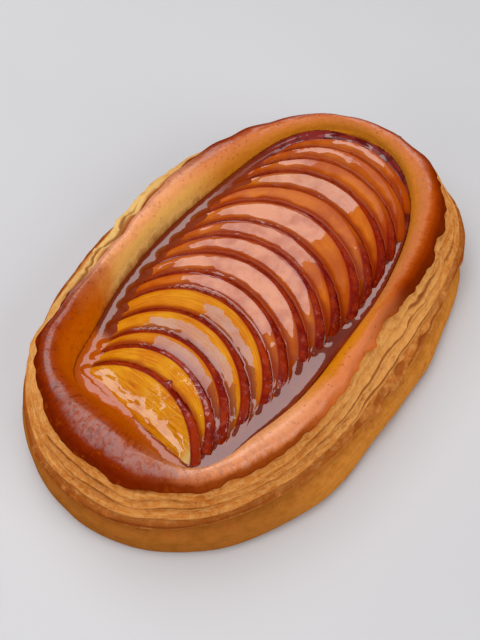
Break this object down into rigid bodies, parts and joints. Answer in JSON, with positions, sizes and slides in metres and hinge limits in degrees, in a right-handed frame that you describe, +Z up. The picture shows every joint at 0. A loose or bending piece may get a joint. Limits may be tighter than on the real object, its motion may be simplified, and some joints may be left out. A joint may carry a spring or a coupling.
{
  "type": "fruit danish pastry",
  "caption": "Oval laminated danish pastry with a high browned rim and a fan of glazed nectarine slices leaning back on each other in its well.",
  "frame": {"origin": "on the flat underside, at the centre of the bounding box in X and Y", "axes": "+Z up; +Y along the length, towards the end that the fruit slices lean to; +X across the width, to the right when looking along +Y"},
  "size_m": [0.0936, 0.143, 0.0273],
  "materials": {
    "crust": "baked golden brown pastry, browner and glazed on the rim",
    "nectarine": "amber fruit flesh under a clear wet glaze"
  },
  "bodies": {
    "root": {"pastry_case": "crust", "slice_01": "nectarine", "slice_02": "nectarine", "slice_03": "nectarine", "slice_04": "nectarine", "slice_05": "nectarine", "slice_06": "nectarine", "slice_07": "nectarine", "slice_08": "nectarine", "slice_09": "nectarine", "slice_10": "nectarine", "slice_11": "nectarine", "slice_12": "nectarine", "slice_13": "nectarine", "slice_14": "nectarine", "slice_15": "nectarine"}
  },
  "joints": []
}
